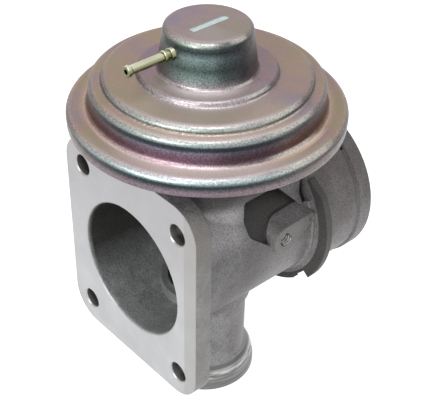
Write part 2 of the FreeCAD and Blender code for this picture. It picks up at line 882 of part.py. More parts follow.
def vacuum_nipple():
    """Hose nipple with a beaded tip, a collar and a foot on the dome's wall."""
    def place(point):
        return Vector(point.y, stem_distance - point.x, nipple_height)
    tip = nipple_tip_reach
    collar_start = nipple_collar_reach
    collar_end = collar_start + nipple_collar_length
    tube = [
        (nipple_inner_reach, nipple_bore_radius),
        (nipple_inner_reach, nipple_radius),
        (collar_start, nipple_radius),
        (collar_start, nipple_collar_radius, nipple_collar_length / 4),
        (collar_end, nipple_collar_radius, nipple_collar_length / 4),
        (collar_end, nipple_radius),
        (tip - nipple_bead_length - nipple_bead_taper, nipple_radius),
        (tip - nipple_bead_length, nipple_bead_radius),
        (tip, nipple_bead_radius, nipple_bead_taper / 2),
        (tip, nipple_bore_radius),
    ]
    foot = [
        (nipple_inner_reach, nipple_radius),
        (nipple_inner_reach, nipple_foot_radius),
        (nipple_foot_reach, nipple_foot_radius - nipple_bead_taper, nipple_bead_taper / 2),
        (nipple_foot_reach, nipple_radius),
    ]
    axis_start = Vector(0, stem_distance, nipple_height)
    tube_solid = Part.Face(outline(tube, place)).revolve(axis_start, Vector(0, 1, 0), 360)
    foot_solid = Part.Face(outline(foot, place)).revolve(axis_start, Vector(0, 1, 0), 360)
    return tube_solid.fuse(foot_solid.cut(dome_envelope()))


def actuator_screws():
    """Socket screws that hold the pan on the tower."""
    seat = pan_floor + washer_thickness
    head = Part.makeCylinder(screw_head_radius, screw_head_height, Vector(0, 0, seat))
    top_edges = [edge for edge in head.Edges if edge.BoundBox.ZMin > seat + screw_head_height / 2]
    head = head.makeFillet(screw_head_round, top_edges)
    shank = Part.makeCylinder(screw_shank_radius, seat - tower_top + screw_length,
                              Vector(0, 0, tower_top - screw_length))
    corners = [direction(60 * index) * (screw_hex_flats / math.sqrt(3)) for index in range(6)]
    hexagon = Part.Face(Part.makePolygon(corners + corners[:1]))
    hexagon.translate(Vector(0, 0, seat + screw_head_height - screw_hex_depth))
    screw = head.fuse(shank).cut(hexagon.extrude(Vector(0, 0, screw_hex_depth)))
    screw.translate(Vector(0, stem_distance + screw_pitch_radius, 0))
    return Part.makeCompound(around_stem(screw.removeSplitter(), screw_count, 0))


def screw_washers():
    """Flat washers under the screw heads."""
    y = stem_distance + screw_pitch_radius
    top = pan_floor + washer_thickness
    washer = post(washer_radius, pan_floor, top, 0, y)
    washer = washer.cut(post(screw_shank_radius + screw_thread_gap, pan_floor, top, 0, y))
    return Part.makeCompound(around_stem(washer, screw_count, 0))


def diaphragm():
    """Fabric-reinforced rubber diaphragm with a rolling convolution and a clamped bead."""
    crest = diaphragm_plane + convolution_height
    path = [
        (spigot_radius + diaphragm_hole_gap, diaphragm_plane),
        (convolution_inner_radius, diaphragm_plane, 1.5 * diaphragm_thickness),
        (convolution_inner_radius + diaphragm_thickness, crest, convolution_round),
        (convolution_outer_radius - diaphragm_thickness, crest, convolution_round),
        (convolution_outer_radius, diaphragm_plane, 1.5 * diaphragm_thickness),
        (bead_inner_radius + diaphragm_thickness, diaphragm_plane),
    ]
    web = turned(sheet(path, diaphragm_thickness, -1))
    bead_top = clamp_top + diaphragm_bead_height
    bead = turned([
        (bead_inner_radius, clamp_top),
        (clamp_radius, clamp_top),
        (clamp_radius, bead_top, diaphragm_bead_corner),
        (bead_inner_radius, bead_top),
    ])
    return web.fuse(bead)


def lower_plate():
    """Support plate under the diaphragm."""
    top = diaphragm_plane - diaphragm_thickness
    return turned([
        (spigot_radius, lower_plate_bottom),
        (lower_plate_radius, lower_plate_bottom, plate_wall / 3),
        (lower_plate_radius, top),
        (spigot_radius, top),
    ])


def upper_plate():
    """Piston plate on the diaphragm, with a raised bead that centres the spring."""
    bead_top = upper_plate_top + plate_bead_height
    path = [
        (spigot_radius, upper_plate_top),
        (plate_bead_inner, upper_plate_top, plate_bead_round),
        (plate_bead_inner + plate_bead_slope, bead_top, plate_bead_round + plate_wall),
        (plate_bead_outer - plate_bead_slope, bead_top, plate_bead_round + plate_wall),
        (plate_bead_outer, upper_plate_top, plate_bead_round),
        (upper_plate_radius, upper_plate_top),
    ]
    return turned(sheet(path, plate_wall, -1))


def stem_washer():
    """Washer under the riveted head of the stem."""
    ring = post(stem_washer_radius, upper_plate_top, stem_washer_top)
    return ring.cut(post(spigot_radius, upper_plate_top, stem_washer_top))


def return_spring():
    """Compression spring between the upper plate and the cup under the dome."""
    seat = upper_plate_top + spring_end_gap + spring_wire_radius
    height = spring_top - spring_end_gap - spring_wire_radius - seat
    pitch = height / spring_coils
    helix = Part.makeHelix(pitch, height, spring_radius)
    heading = Vector(0, 2 * math.pi * spring_radius, pitch)
    section = Part.Circle(Vector(spring_radius, 0, 0), heading, spring_wire_radius)
    coil = Part.Wire(helix).makePipeShell([Part.Wire([section.toShape()])], True, True)
    coil.translate(Vector(0, stem_distance, seat))
    return coil


def spring_cup():
    """Pressed cup under the dome that centres the top of the spring."""
    top = spring_top + spring_cup_wall
    path = [
        (0, top - spring_cup_hub_drop),
        (spring_cup_hub_radius - spring_cup_wall, top - spring_cup_hub_drop, spring_cup_round),
        (spring_cup_hub_radius, top, spring_cup_round + spring_cup_wall),
        (spring_cup_radius, top),
    ]
    return turned(sheet(path, spring_cup_wall, -1))


save(valve_body(), "valve_body")
save(seat_ring(), "seat_ring")
save(valve_disc(), "valve_disc")
save(valve_stem(), "valve_stem")
save(stem_guide(), "stem_guide")
save(stem_seal(), "stem_seal")
save(seal_retainer(), "seal_retainer")
save(soot_shield(), "soot_shield")
save(actuator_gasket(), "actuator_gasket")
save(lower_shell(), "lower_shell")
save(upper_shell(), "upper_shell")
save(vacuum_nipple(), "vacuum_nipple")
save(actuator_screws(), "actuator_screws")
save(screw_washers(), "screw_washers")
save(diaphragm(), "diaphragm")
save(lower_plate(), "lower_plate")
save(upper_plate(), "upper_plate")
save(stem_washer(), "stem_washer")
save(return_spring(), "return_spring")
save(spring_cup(), "spring_cup")
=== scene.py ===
"""Looks of the exhaust gas recirculation valve, in metres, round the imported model."""

import math

import bpy
from mathutils import Matrix, Vector


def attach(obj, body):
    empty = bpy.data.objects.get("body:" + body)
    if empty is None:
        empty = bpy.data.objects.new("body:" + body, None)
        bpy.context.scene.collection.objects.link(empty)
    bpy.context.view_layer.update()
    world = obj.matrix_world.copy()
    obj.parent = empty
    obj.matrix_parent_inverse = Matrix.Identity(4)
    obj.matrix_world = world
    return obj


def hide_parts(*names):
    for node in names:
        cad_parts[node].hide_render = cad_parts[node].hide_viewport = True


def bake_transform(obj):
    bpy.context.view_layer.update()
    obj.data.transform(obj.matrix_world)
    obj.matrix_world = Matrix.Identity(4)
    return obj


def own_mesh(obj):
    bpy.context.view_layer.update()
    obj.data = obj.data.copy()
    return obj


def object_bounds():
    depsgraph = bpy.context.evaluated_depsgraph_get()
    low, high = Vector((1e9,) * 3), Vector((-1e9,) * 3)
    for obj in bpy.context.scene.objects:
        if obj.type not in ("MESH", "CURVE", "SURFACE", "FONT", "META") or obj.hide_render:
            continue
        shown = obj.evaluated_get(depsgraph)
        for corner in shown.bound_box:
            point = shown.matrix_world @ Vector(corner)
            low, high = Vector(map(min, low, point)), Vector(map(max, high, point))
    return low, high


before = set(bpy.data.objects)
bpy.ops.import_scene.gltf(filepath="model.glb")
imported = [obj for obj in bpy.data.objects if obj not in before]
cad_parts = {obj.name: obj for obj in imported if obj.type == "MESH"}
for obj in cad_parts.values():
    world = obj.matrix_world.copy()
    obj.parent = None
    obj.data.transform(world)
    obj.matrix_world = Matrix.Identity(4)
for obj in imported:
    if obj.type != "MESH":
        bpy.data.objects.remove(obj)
cad_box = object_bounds()
MM = 0.001

# Axis of the valve stem, and the camera that was solved from the photograph
STEM_Y = 39 * MM
CAMERA_AZIMUTH = math.radians(48.0105)
CAMERA_ELEVATION = math.radians(36.8919)
CAMERA_ROLL = math.radians(1.0457)
CAMERA_DISTANCE = 431.5924 * MM
CAMERA_RIGHT = 4.1012 * MM
CAMERA_UP = 12.0336 * MM
FOCAL_PIXELS = 1053.3046
IMAGE_WIDTH = 432

# Places on the casting, in millimetres: along the duct (y), up the stem (z), across (x) and as radii
FLANGE_BACK = 9
BORE_RADIUS = 28.2
BOLT_ACROSS = 28.5
BOLT_UP = 34.5
BOLT_CHAMFER = 4.9
POCKET_RADIUS = 30.5
BOSS_FACE = 32.7
BOSS_HOLE_Y = 52.5
BOSS_HOLE_Z = 7.6
PLATE_FRONT = 68.3
PLATE_BACK = 71.8
PLATE_INNER = 35.1
SOCKET_Z = 2.5
CLAMP_RIM_TOP = -60.9

# Places on the actuator, in millimetres: the bar on the dome, and the foot of the groove behind the rim
BAR_X = 0.6
BAR_HALF_WIDTH = 1.45
BAR_HALF_LENGTH = 8.5
DOME_TOP = 93
GROOVE_FOOT = 46.2

# Light levels
SKY = 0.3
FLOOR_GLOW = 0.9
KEY_POWER = 4.3
TOP_POWER = 2.4
SIDE_POWER = 0.35


def camera_axes():
    """Right, up and viewing directions of the photograph's camera."""
    a, e, roll = CAMERA_AZIMUTH, CAMERA_ELEVATION, CAMERA_ROLL
    right = Vector((math.cos(a), math.sin(a), 0))
    view = Vector((-math.sin(a) * math.cos(e), math.cos(a) * math.cos(e), -math.sin(e)))
    up = right.cross(view)
    turned_right = right * math.cos(roll) + up * math.sin(roll)
    turned_up = up * math.cos(roll) - right * math.sin(roll)
    return turned_right, turned_up, view


def make_camera():
    """The photograph's camera."""
    right, up, view = camera_axes()
    data = bpy.data.cameras.new("camera")
    data.lens = FOCAL_PIXELS / IMAGE_WIDTH * data.sensor_width
    data.clip_start = 0.01
    data.clip_end = 20
    camera = bpy.data.objects.new("camera", data)
    place = Vector((0, STEM_Y, 0)) + right * CAMERA_RIGHT + up * CAMERA_UP - view * CAMERA_DISTANCE
    turn = Matrix((right, up, -view)).transposed().to_4x4()
    camera.matrix_world = Matrix.Translation(place) @ turn
    bpy.context.scene.collection.objects.link(camera)
    bpy.context.scene.camera = camera


class Nodes:
    """Small helper for building one node material."""

    def __init__(self, name):
        self.material = bpy.data.materials.new(name)
        self.material.use_nodes = True
        self.tree = self.material.node_tree
        self.shader = self.tree.nodes["Principled BSDF"]
        self.place = self.add("ShaderNodeTexCoord").outputs["Object"]
        self.normal = self.add("ShaderNodeNewGeometry").outputs["Normal"]

    def add(self, kind, **settings):
        node = self.tree.nodes.new(kind)
        for name, value in settings.items():
            setattr(node, name, value)
        return node

    def link(self, source, target):
        if isinstance(source, (int, float)):
            target.default_value = source
        elif isinstance(source, (tuple, list)):
            target.default_value = (*source, 1)[:4]
        else:
            self.tree.links.new(source, target)

    def noise(self, scale, detail=3.0, rough=0.5, stretch=(1, 1, 1)):
        mapping = self.add("ShaderNodeMapping")
        mapping.inputs["Scale"].default_value = stretch
        self.link(self.place, mapping.inputs["Vector"])
        node = self.add("ShaderNodeTexNoise")
        self.link(mapping.outputs["Vector"], node.inputs["Vector"])
        node.inputs["Scale"].default_value = scale
        node.inputs["Detail"].default_value = detail
        node.inputs["Roughness"].default_value = rough
        return node.outputs["Fac"]

    def ramp(self, value, *stops):
        node = self.add("ShaderNodeValToRGB")
        self.link(value, node.inputs["Fac"])
        elements = node.color_ramp.elements
        while len(elements) < len(stops):
            elements.new(0.5)
        for element, (position, color) in zip(elements, stops):
            element.position = position
            element.color = (*color, 1)
        return node.outputs["Color"]

    def spread(self, value, low, high, out_low=0.0, out_high=1.0):
        """Maps value from low..high to out_low..out_high, clamped."""
        node = self.add("ShaderNodeMapRange")
        self.link(value, node.inputs["Value"])
        node.inputs["From Min"].default_value = low
        node.inputs["From Max"].default_value = high
        node.inputs["To Min"].default_value = out_low
        node.inputs["To Max"].default_value = out_high
        return node.outputs["Result"]

    def math(self, operation, first, second=0.0):
        node = self.add("ShaderNodeMath", operation=operation)
        self.link(first, node.inputs[0])
        self.link(second, node.inputs[1])
        return node.outputs["Value"]

    def mix(self, factor, first, second, blend="MIX"):
        node = self.add("ShaderNodeMix", data_type="RGBA", blend_type=blend)
        self.link(factor, node.inputs["Factor"])
        self.link(first, node.inputs["A"])
        self.link(second, node.inputs["B"])
        return node.outputs["Result"]

    def scale(self, value, stops):
        """Colour ramp over (millimetres, colour) stops."""
        low, high = stops[0][0], stops[-1][0]
        spread = self.spread(value, low * MM, high * MM)
        return self.ramp(spread, *[((at - low) / (high - low), color) for at, color in stops])

    def reach(self, first, second):
        """Length of the vector of two components."""
        return self.math("SQRT", self.math("ADD", self.math("MULTIPLY", first, first),
                                           self.math("MULTIPLY", second, second)))

    def apart(self, value, place):
        """Distance of the value from a place in millimetres."""
        return self.math("ABSOLUTE", self.math("SUBTRACT", value, place * MM))

    def inside(self, value, limit):
        """1 below the limit in millimetres, with an edge 0.2 mm wide."""
        return self.spread(value, (limit + 0.1) * MM, (limit - 0.1) * MM)

    def both(self, *masks):
        """Product of masks."""
        total = masks[0]
        for mask in masks[1:]:
            total = self.math("MULTIPLY", total, mask)
        return total

    def zone(self, *edges):
        """Product of soft edges, each 0 at the first and 1 at the second of its places in millimetres."""
        return self.both(*[self.spread(value, low * MM, high * MM) for value, low, high in edges])

    def paint(self, base, mask, strength, color):
        """The base with a colour laid over it where the mask is."""
        return self.mix(self.math("MULTIPLY", mask, strength), base, color)

    def split(self, vector):
        node = self.add("ShaderNodeSeparateXYZ")
        self.link(vector, node.inputs["Vector"])
        return node.outputs["X"], node.outputs["Y"], node.outputs["Z"]

    def bump(self, height, strength, distance, normal=None):
        node = self.add("ShaderNodeBump")
        if normal is not None:
            self.link(normal, node.inputs["Normal"])
        node.inputs["Strength"].default_value = strength
        node.inputs["Distance"].default_value = distance
        self.link(height, node.inputs["Height"])
        return node.outputs["Normal"]

    def set(self, **inputs):
        for name, value in inputs.items():
            self.link(value, self.shader.inputs[name.replace("_", " ")])
        return self.material


def plain_metal(name, color, roughness, metallic=1.0, grain=900.0, depth=0.02 * MM):
    """Turned or drawn metal: slight colour and roughness variation, and fine grain."""
    n = Nodes(name)
    cloud = n.noise(60, 4)
    tint = n.mix(n.spread(cloud, 0.3, 0.7), [c * 0.86 for c in color], [min(1, c * 1.1) for c in color])
    rough = n.spread(n.noise(220, 4), 0.3, 0.7, roughness * 0.8, roughness * 1.25)
    normal = n.bump(n.noise(grain, 2), 0.5, depth)
    return n.set(Base_Color=tint, Metallic=metallic, Roughness=rough, Normal=normal)


def srgb(*values):
    """Linear colour from 8-bit screen values."""
    return tuple((v / 255 / 12.92) if v <= 10 else ((v / 255 + 0.055) / 1.055) ** 2.4 for v in values)


def grey(level):
    """The same value for all three channels."""
    return (level,) * 3


def worn_and_highlit_edges(n, rounded):
    """1 on the sharp edges, which are painted bright: rubbed wear, and a painted highlight where they catch
    the light.
    """
    edge = n.add("ShaderNodeVectorMath", operation="DOT_PRODUCT")
    n.link(rounded, edge.inputs[0])
    n.link(n.normal, edge.inputs[1])
    return n.spread(edge.outputs["Value"], 0.99, 0.86)


def blasted_grey(n, x, y, z, cloud, rounded):
    """The casting's rough outside: cloudy grey, with painted light where it faces the light and the floor,
    and painted shade under the can, in its recesses and over its upper body.
    """
    base = n.ramp(cloud, (0.34, srgb(112, 110, 110)), (0.5, srgb(156, 155, 156)), (0.66, srgb(192, 192, 194)))
    base = n.paint(base, n.spread(n.noise(95, 4, 0.6), 0.44, 0.62), 0.7, srgb(118, 109, 107))
    # painted shade: a darker grey from the duct's middle upward, behind the flange
    base = n.paint(base, n.zone((z, -17, -6), (y, 8, 12)), 0.45, srgb(112, 110, 110))
    # painted highlight, with rubbed wear, brightens the sharp edges
    base = n.paint(base, worn_and_highlit_edges(n, rounded), 0.55, srgb(176, 175, 172))
    # painted light: the duct's top beside the stem tower painted pale
    lit_upper_duct = n.zone((z, 11, 18), (z, 30, 26), (y, FLANGE_BACK, 12), (y, 37, 31))
    base = n.paint(base, lit_upper_duct, 0.8, srgb(216, 213, 214))
    # painted light: paler on the lower rear of the duct and towards the bottom, as lit from the floor below
    base = n.paint(base, n.zone((y, 38, 47), (z, 8, 0)), 0.35, srgb(196, 192, 193))
    base = n.paint(base, n.zone((z, -12, -26)), 0.25, srgb(196, 195, 197))
    # painted light and shade: the flange's side paler towards the bottom, darker towards the top under the
    # can
    flange_side = n.both(n.inside(y, FLANGE_BACK - 0.4), n.zone((z, 20, -36)))
    base = n.paint(base, flange_side, 0.4, srgb(192, 193, 196))
    # painted shadow of the can: dark brown on the stem tower and the duct's top, weaker towards the back
    can_shadow = n.zone((z, 26.5, 33), (y, FLANGE_BACK, 30))
    base = n.paint(base, can_shadow, n.spread(y, 76 * MM, 68 * MM, 0.2, 0.92), srgb(60, 50, 47))
    # painted shade: near black in the pocket beside the stem tower
    pocket_shade = n.both(n.inside(n.reach(x, z), POCKET_RADIUS), n.zone((y, 20, 24)))
    base = n.paint(base, pocket_shade, 0.9, srgb(52, 50, 48))
    from_socket = n.reach(x, n.math("SUBTRACT", z, SOCKET_Z * MM))
    beyond_socket = n.zone((from_socket, PLATE_INNER - 0.2, PLATE_INNER + 0.2))
    # painted shade: a dark grey on the stop plate's front face
    plate = n.both(n.zone((y, PLATE_FRONT - 0.1, PLATE_FRONT + 0.1)), n.inside(y, PLATE_BACK - 0.1),
                   beyond_socket)
    base = n.paint(base, plate, 0.95, srgb(84, 82, 80))
    # painted shade: a warm darker grey over the rear socket, stronger towards the top
    socket = n.both(n.zone((y, PLATE_BACK - 0.2, PLATE_BACK + 0.4)), n.spread(z, -8 * MM, 14 * MM, 0.25, 1.0))
    return n.paint(base, socket, 0.55, srgb(104, 94, 92))


def bore_grey(n, z):
    """The duct's inside: blotchy, with the light on its floor and its roof in the dark."""
    blotch = n.ramp(n.noise(160, 5, 0.7), (0.3, srgb(114, 115, 112)), (0.55, srgb(132, 134, 133)),
                    (0.75, srgb(156, 158, 158)))
    shade = n.scale(z, ((-22, (1.5, 1.5, 1.54)), (-13.2, (0.8, 0.82, 0.84)), (-6, (0.26, 0.25, 0.23)),
                        (18, (0.16, 0.16, 0.15))))
    return n.mix(1.0, blotch, shade, "MULTIPLY")


def turned_grey(n, z):
    """The clamp rim: fine rings from the lathe, with painted glints in a bright streaky band where it bulges.
    """
    rings = n.ramp(n.noise(260, 4, 0.7, (0.12, 0.12, 3)), (0.35, srgb(100, 101, 102)),
                   (0.55, srgb(122, 123, 123)), (0.7, srgb(160, 159, 157)))
    glint_streaks = n.spread(n.noise(260, 3, 0.6, (0.3, 0.3, 3)), 0.4, 0.56)
    bulge = n.zone((z, -66.6, -66), (z, -62.4, -63.4))
    # painted highlight: bright glint streaks in a band round the bulge
    return n.paint(rings, n.both(glint_streaks, bulge), 0.85, srgb(214, 213, 210))


def milled_grey(n, z):
    """The flange's face: pale and smooth, a little darker towards the top."""
    milled = n.ramp(n.noise(60, 5, 0.65), (0.3, srgb(168, 169, 170)), (0.7, srgb(184, 185, 187)))
    return n.paint(milled, n.zone((z, -10, 44)), 0.5, srgb(148, 144, 147))


def cast_aluminium():
    """Blasted casting with fine pits, a milled flange face, drilled holes with painted shade deeper in, a
    bore with painted shade on its roof and painted light on its floor, and a turned rim with painted glints.
    """
    n = Nodes("cast_aluminium")
    x, y, z = n.split(n.place)
    cloud = n.noise(38, 5, 0.6)
    fine = n.noise(1500, 3, 0.7)
    bevel = n.add("ShaderNodeBevel", samples=4)
    bevel.inputs["Radius"].default_value = 0.5 * MM
    rounded = bevel.outputs["Normal"]
    base = blasted_grey(n, x, y, z, cloud, rounded)
    bore = n.both(n.inside(n.reach(x, z), BORE_RADIUS), n.zone((y, 1.2, 2.2)))
    base = n.mix(bore, base, bore_grey(n, z))
    speck = n.spread(fine, 0.36, 0.64, 0.52, 1.32)
    base = n.mix(1.0, base, n.mix(speck, grey(0), grey(1)), "MULTIPLY")
    face = n.math("LESS_THAN", y, 0.25 * MM)
    clamp_rim = n.zone((z, CLAMP_RIM_TOP + 0.3, CLAMP_RIM_TOP - 0.3))
    from_bolt = n.reach(n.math("SUBTRACT", n.math("ABSOLUTE", x), BOLT_ACROSS * MM),
                        n.math("SUBTRACT", n.math("ABSOLUTE", z), BOLT_UP * MM))
    drilled = n.both(n.inside(from_bolt, BOLT_CHAMFER), n.zone((y, 8.5, 8.2)),
                     n.math("GREATER_THAN", y, 0.1 * MM))
    boss_pad = n.both(n.math("GREATER_THAN", x, (BOSS_FACE - 0.1) * MM), n.inside(y, PLATE_FRONT + 0.1))
    base = n.mix(face, base, milled_grey(n, z))
    base = n.mix(clamp_rim, base, turned_grey(n, z))
    base = n.paint(base, boss_pad, 0.5, srgb(146, 144, 138))
    # painted shade: the bolt holes' walls bright near the face and darker deeper in
    base = n.mix(drilled, base, n.mix(n.zone((y, 0.6, 3)), srgb(176, 175, 173), srgb(98, 97, 95)))
    bright = n.math("MAXIMUM", n.math("MAXIMUM", face, clamp_rim), drilled)
    metallic = n.spread(bright, 0, 1, 0.2, 0.7)
    rough = n.mix(bright, n.mix(n.spread(cloud, 0.3, 0.7), grey(0.48), grey(0.6)), grey(0.34))
    grain = n.math("ADD", fine, n.math("MULTIPLY", n.noise(480, 3), 1.6))
    depth = n.math("MULTIPLY", grain, n.spread(bright, 0, 1, 1.0, 0.12))
    normal = n.bump(depth, 0.9, 0.2 * MM, rounded)
    return n.set(Base_Color=base, Metallic=metallic, Roughness=rough, Normal=normal)


# Zinc passivation, set to follow the photograph's colours down the can's front and its side, with the light
# painted in:
# painted highlights where the plating catches the light, painted dark reflections and shade where it turns
# away
PEARL = srgb(186, 200, 206)
SILVER = srgb(167, 177, 172)
BLUSH = srgb(174, 167, 171)
ROSE = srgb(200, 176, 182)
SAND = srgb(170, 158, 150)
HAZE = srgb(137, 148, 150)
TEAL = srgb(109, 129, 128)
SLATE = srgb(68, 84, 80)
INK = srgb(48, 55, 59)
PLUM = srgb(107, 85, 99)
VIOLET = srgb(108, 104, 122)
MAUVE = srgb(118, 107, 115)
OLIVE = srgb(112, 113, 106)
TAUPE = srgb(131, 124, 121)
HEATHER = srgb(110, 101, 102)
BARK = srgb(83, 76, 75)
SMOKE = srgb(70, 67, 70)
COPPER = srgb(187, 163, 148)
BRONZE = srgb(122, 98, 82)
UMBER = srgb(94, 69, 60)
LILAC = srgb(135, 128, 135)
KHAKI = srgb(147, 132, 116)
DUSTY_PINK = srgb(160, 149, 149)
PALE_PINK = srgb(189, 175, 177)
WARM_SAND = srgb(184, 170, 158)
PEACH = srgb(210, 191, 180)
PETAL = srgb(217, 204, 206)
CREAM = srgb(240, 220, 213)
IVORY = srgb(247, 234, 236)

# Which of them lies at which height in millimetres on the can's walls, on its front painted bright and its
# sides painted dim
FRONT_WALLS = (
    (57.2, MAUVE), (59.0, INK), (59.9, INK), (60.5, TEAL), (61.2, PEARL), (62.3, BLUSH), (62.8, ROSE),
    (63.6, PLUM), (66.0, PLUM), (67.6, VIOLET), (68.5, INK), (69.6, INK), (70.4, HAZE), (71.2, SILVER),
    (72.1, SAND), (72.8, OLIVE), (73.6, SILVER), (75.4, BLUSH), (77.2, BLUSH), (79.5, HAZE), (81.5, TEAL),
    (84.0, SLATE), (88.2, TEAL), (90.6, INK), (92.0, SLATE), (93.2, SILVER), (93.9, BLUSH),
)
SIDE_WALLS = (
    (56.6, TAUPE), (58.8, HEATHER), (60.2, BARK), (61.6, TAUPE), (62.4, COPPER), (62.9, BRONZE),
    (64.3, UMBER), (66.4, UMBER), (68.6, BARK), (70.0, SMOKE), (71.6, TAUPE), (72.3, TAUPE), (73.2, BARK),
    (74.4, TAUPE), (76.6, HEATHER), (78.0, HEATHER), (82.0, SMOKE), (92.2, SMOKE), (93.4, TAUPE),
)

# The same by distance from the stem's axis in millimetres, on the flats
FRONT_FLATS = (
    (13.0, DUSTY_PINK), (14.4, PALE_PINK), (17.0, PALE_PINK), (20.5, IVORY), (22.2, PETAL), (24.4, PALE_PINK),
    (26.6, PETAL), (28.5, PALE_PINK), (31.0, WARM_SAND), (36.0, WARM_SAND), (37.6, PETAL), (39.8, CREAM),
    (41.2, PEACH), (42.8, PETAL), (45.6, IVORY), (48.0, CREAM), (50.5, PETAL),
)
SIDE_FLATS = (
    (17.0, LILAC), (21.0, MAUVE), (25.0, MAUVE), (27.5, KHAKI), (42.0, KHAKI), (45.8, COPPER), (48.5, KHAKI),
)


def passivated_steel():
    """Zinc passivation: tan, mauve and olive flats, pale shoulders with painted highlights, and teal to plum
    walls darkened by painted reflections; the front painted brighter than the sides.
    """
    n = Nodes("passivated_steel")
    x, y, z = n.split(n.place)
    across = n.math("SUBTRACT", y, STEM_Y)
    from_stem = n.reach(x, across)
    _, _, nz = n.split(n.normal)
    upright = n.spread(nz, 0.84, 0.985, 1.0, 0.0)
    swirl = n.noise(55, 4, 0.6)
    fine = n.noise(1700, 2, 0.6)

    def facing(azimuth, low, high):
        """0 to 1 as the cosine of the angle from that direction round the stem goes from low to high."""
        turn = math.radians(azimuth)
        toward = n.math("ADD", n.math("MULTIPLY", x, math.cos(turn)),
                        n.math("MULTIPLY", across, math.sin(turn)))
        return n.spread(n.math("DIVIDE", toward, from_stem), low, high)

    clouds = n.math("ADD", n.math("MULTIPLY", n.noise(24, 3, 0.5), 0.6), n.math("MULTIPLY", swirl, 0.4))
    tint = n.ramp(clouds, (0.36, srgb(148, 148, 104)), (0.45, srgb(172, 148, 114)),
                  (0.53, srgb(176, 138, 138)), (0.62, srgb(136, 122, 164)))
    # painted light: the can's front, towards the light, is painted brighter than its sides
    ahead = facing(-42, 0.45, 0.95)
    flat = n.mix(ahead, n.scale(from_stem, SIDE_FLATS), n.scale(from_stem, FRONT_FLATS))
    flat = n.mix(n.spread(ahead, 0, 1, 0.42, 0.14), flat, tint)
    # painted highlight on the flat at the foot of the groove, on the right side
    foot = n.inside(n.apart(from_stem, GROOVE_FOOT), 1.4)
    flat = n.mix(n.both(foot, facing(4, 0.93, 0.99)), flat, srgb(232, 204, 182))
    # painted light and reflections: the walls take the bright colours in front and the dim ones at the sides
    wall = n.mix(facing(-51, 0.5, 0.95), n.scale(z, SIDE_WALLS), n.scale(z, FRONT_WALLS))
    # painted shade: near-black patches on the dome's wall and the wall below the ledge, a little right of the
    # front
    dome_shade = n.both(facing(-10, 0.90, 0.98), n.zone((z, 77, 80)), 0.6)
    groove_shade = n.both(facing(-22, 0.95, 0.99), n.zone((z, 61.5, 62.5), (z, 70, 69)), 0.55)
    wall = n.mix(n.math("MAXIMUM", dome_shade, groove_shade), wall, srgb(28, 32, 36))
    wall = n.mix(n.spread(swirl, 0.35, 0.7, 0.0, 0.25), wall, tint, "SOFT_LIGHT")
    base = n.mix(upright, flat, wall)
    # painted highlight on the rounded shoulders that face right
    shoulder = n.both(n.spread(nz, 0.35, 0.6), n.spread(nz, 0.99, 0.94, 0.0, 0.6))
    base = n.mix(n.both(shoulder, facing(2, 0.955, 0.995)), base, srgb(210, 209, 200))
    # painted reflection: a plum tone on the faces that turn downward
    base = n.mix(n.spread(nz, -0.6, -0.25, 1.0, 0.0), base, srgb(100, 88, 94))
    speck = n.mix(n.spread(fine, 0.34, 0.66), grey(0.55), grey(1.4))
    base = n.mix(n.spread(upright, 0, 1, 0.22, 0.85), base, n.mix(1.0, base, speck, "MULTIPLY"))
    # painted highlight: the shallow bar on the dome top painted pale
    bar = n.both(n.inside(n.apart(x, BAR_X), BAR_HALF_WIDTH),
                 n.inside(n.math("ABSOLUTE", across), BAR_HALF_LENGTH),
                 n.math("GREATER_THAN", z, DOME_TOP * MM), n.spread(n.noise(600, 3), 0.25, 0.5, 0.7, 1.0))
    base = n.mix(bar, base, srgb(212, 228, 230))
    metallic = n.mix(upright, n.spread(ahead, 0, 1, 0.45, 0.2), grey(0.92))
    rough = n.spread(n.noise(300, 4), 0.3, 0.7, 0.34, 0.44)
    grain = n.bump(n.math("ADD", fine, n.noise(700, 2)), 0.6, 0.05 * MM)
    return n.set(Base_Color=base, Metallic=metallic, Roughness=rough, Normal=grain)


def plated_tube():
    """Bright yellow-green plating, with a painted highlight along its top and painted shade where the tube
    turns away below.
    """
    n = Nodes("plated_tube")
    _, _, nz = n.split(n.normal)
    # painted light and shade by slope: pale on top, dark underneath
    shade = n.ramp(n.spread(nz, -0.8, 0.9), (0.1, srgb(70, 70, 48)), (0.45, srgb(102, 103, 75)),
                   (0.72, srgb(150, 152, 121)), (0.9, srgb(214, 216, 192)))
    streak = n.noise(500, 3, 0.6, (1, 0.15, 1))
    shade = n.mix(n.spread(streak, 0.35, 0.7, 0.0, 0.4), shade, srgb(150, 146, 96))
    rough = n.spread(n.noise(300, 3), 0.3, 0.7, 0.2, 0.3)
    normal = n.bump(n.noise(900, 2), 0.4, 0.02 * MM)
    return n.set(Base_Color=shade, Metallic=1.0, Roughness=rough, Normal=normal)


def soft_black(name, color, roughness, grain):
    """Rubber, seal compound or fibre: matte, faintly mottled and grained."""
    n = Nodes(name)
    cloud = n.noise(120, 4)
    tint = n.mix(n.spread(cloud, 0.3, 0.7), [c * 0.7 for c in color], [c * 1.3 for c in color])
    rough = n.spread(cloud, 0.3, 0.7, roughness * 0.9, min(1, roughness * 1.1))
    normal = n.bump(n.noise(grain, 3), 0.5, 0.06 * MM)
    return n.set(Base_Color=tint, Metallic=0.0, Roughness=rough, Normal=normal)


def linked(name, points, faces):
    """A new mesh object in the scene."""
    mesh = bpy.data.meshes.new(name)
    mesh.from_pydata(points, [], faces)
    obj = bpy.data.objects.new(name, mesh)
    bpy.context.scene.collection.objects.link(obj)
    return obj


